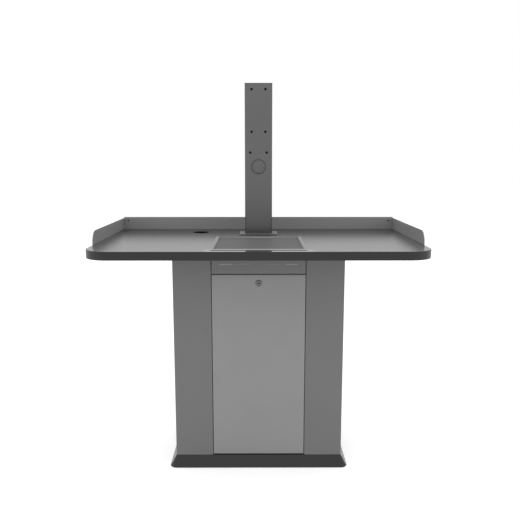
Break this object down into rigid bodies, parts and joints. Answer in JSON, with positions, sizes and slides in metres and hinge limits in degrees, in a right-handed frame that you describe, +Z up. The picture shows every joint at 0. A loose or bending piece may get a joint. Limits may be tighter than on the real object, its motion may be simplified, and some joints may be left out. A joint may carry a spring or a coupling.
{
  "type": "self-service kiosk stand",
  "caption": "Free-standing kiosk stand: a steel cabinet with a drop-down door, a worktop with upstand lips and a scanner recess, and a mast for a screen.",
  "frame": {"origin": "on the floor, at the centre of the overall box", "axes": "+X to the customer's right, +Y away from the customer, +Z up"},
  "size_m": [1.086, 0.626, 1.377],
  "materials": {
    "grey_powder_coat": "satin fine-texture powder coat",
    "light_grey_powder_coat": "satin fine-texture powder coat",
    "black_powder_coat": "satin powder coat",
    "dark_laminate": "satin high-pressure laminate",
    "black_edging": "satin ABS edge band",
    "chipboard": "raw cut board",
    "zinc_steel": "bright zinc plate",
    "black_zinc_steel": "black zinc plate",
    "lock_chrome": "satin chrome",
    "black_rubber": "matte rubber",
    "black_nylon": "moulded nylon",
    "grey_plastic": "moulded plastic"
  },
  "bodies": {
    "stand": {"plinth_skirt": "black_powder_coat", "base_plate": "black_powder_coat", "foot_nuts": "zinc_steel", "left_column": "grey_powder_coat", "right_column": "grey_powder_coat", "base_brackets": "grey_powder_coat", "top_brackets": "grey_powder_coat", "rear_panel": "grey_powder_coat", "outlet_grommet": "black_rubber", "panel_screws": "zinc_steel", "left_shelf_rail": "grey_powder_coat", "right_shelf_rail": "grey_powder_coat", "equipment_shelf": "grey_powder_coat", "top_plate": "grey_powder_coat", "fascia": "grey_powder_coat", "fascia_screws": "zinc_steel", "left_overhang_bracket": "grey_powder_coat", "right_overhang_bracket": "grey_powder_coat", "overhang_screws": "zinc_steel", "worktop_core": "chipboard", "worktop_laminate": "dark_laminate", "worktop_edge_band": "black_edging", "worktop_screws": "zinc_steel", "back_lip": "grey_powder_coat", "left_lip": "grey_powder_coat", "right_lip": "grey_powder_coat", "lip_rivets": "black_zinc_steel", "lip_screws": "zinc_steel", "recess_frame": "grey_powder_coat", "mast_flange": "grey_powder_coat", "mast_studs": "zinc_steel", "mast_backing_plate": "zinc_steel", "mast_washers": "zinc_steel", "mast_nuts": "zinc_steel", "mast_tube": "grey_powder_coat", "mast_cap": "grey_plastic", "mast_inserts": "black_zinc_steel", "grommet_ring": "grey_plastic", "grommet_lid": "grey_plastic", "pivot_bushes": "black_nylon", "door_stops": "grey_powder_coat", "door_buffers": "black_rubber"},
    "door": {"door_skin": "light_grey_powder_coat", "door_liner": "light_grey_powder_coat", "pivot_pins": "zinc_steel", "lock_body": "lock_chrome", "lock_nut": "zinc_steel"},
    "lock": {"lock_plug": "lock_chrome", "lock_cam": "zinc_steel", "cam_screw": "zinc_steel"},
    "lift_out_plate": {"recess_plate": "dark_laminate"},
    "foot_front_left": {"foot_pad_front_left": "black_rubber", "foot_stem_front_left": "zinc_steel"},
    "foot_front_right": {"foot_pad_front_right": "black_rubber", "foot_stem_front_right": "zinc_steel"},
    "foot_rear_left": {"foot_pad_rear_left": "black_rubber", "foot_stem_rear_left": "zinc_steel"},
    "foot_rear_right": {"foot_pad_rear_right": "black_rubber", "foot_stem_rear_right": "zinc_steel"}
  },
  "joints": [
    {"name": "door_hinge", "type": "hinge", "parent": "stand", "child": "door", "pos_m": [0, -0.043, 0.06], "axis": [1, 0, 0], "range_deg": [0, 93]},
    {"name": "lock_turn", "type": "hinge", "parent": "door", "child": "lock", "pos_m": [0, -0.04, 0.68], "axis": [0, -1, 0], "range_deg": [0, 90]},
    {"name": "plate_lift", "type": "slide", "parent": "stand", "child": "lift_out_plate", "axis": [0, 0, 1], "range_m": [0, 0.06]},
    {"name": "foot_screw_front_left", "type": "slide", "parent": "stand", "child": "foot_front_left", "axis": [0, 0, -1], "range_m": [0, 0.012]},
    {"name": "foot_screw_front_right", "type": "slide", "parent": "stand", "child": "foot_front_right", "axis": [0, 0, -1], "range_m": [0, 0.012]},
    {"name": "foot_screw_rear_left", "type": "slide", "parent": "stand", "child": "foot_rear_left", "axis": [0, 0, -1], "range_m": [0, 0.012]},
    {"name": "foot_screw_rear_right", "type": "slide", "parent": "stand", "child": "foot_rear_right", "axis": [0, 0, -1], "range_m": [0, 0.012]}
  ]
}
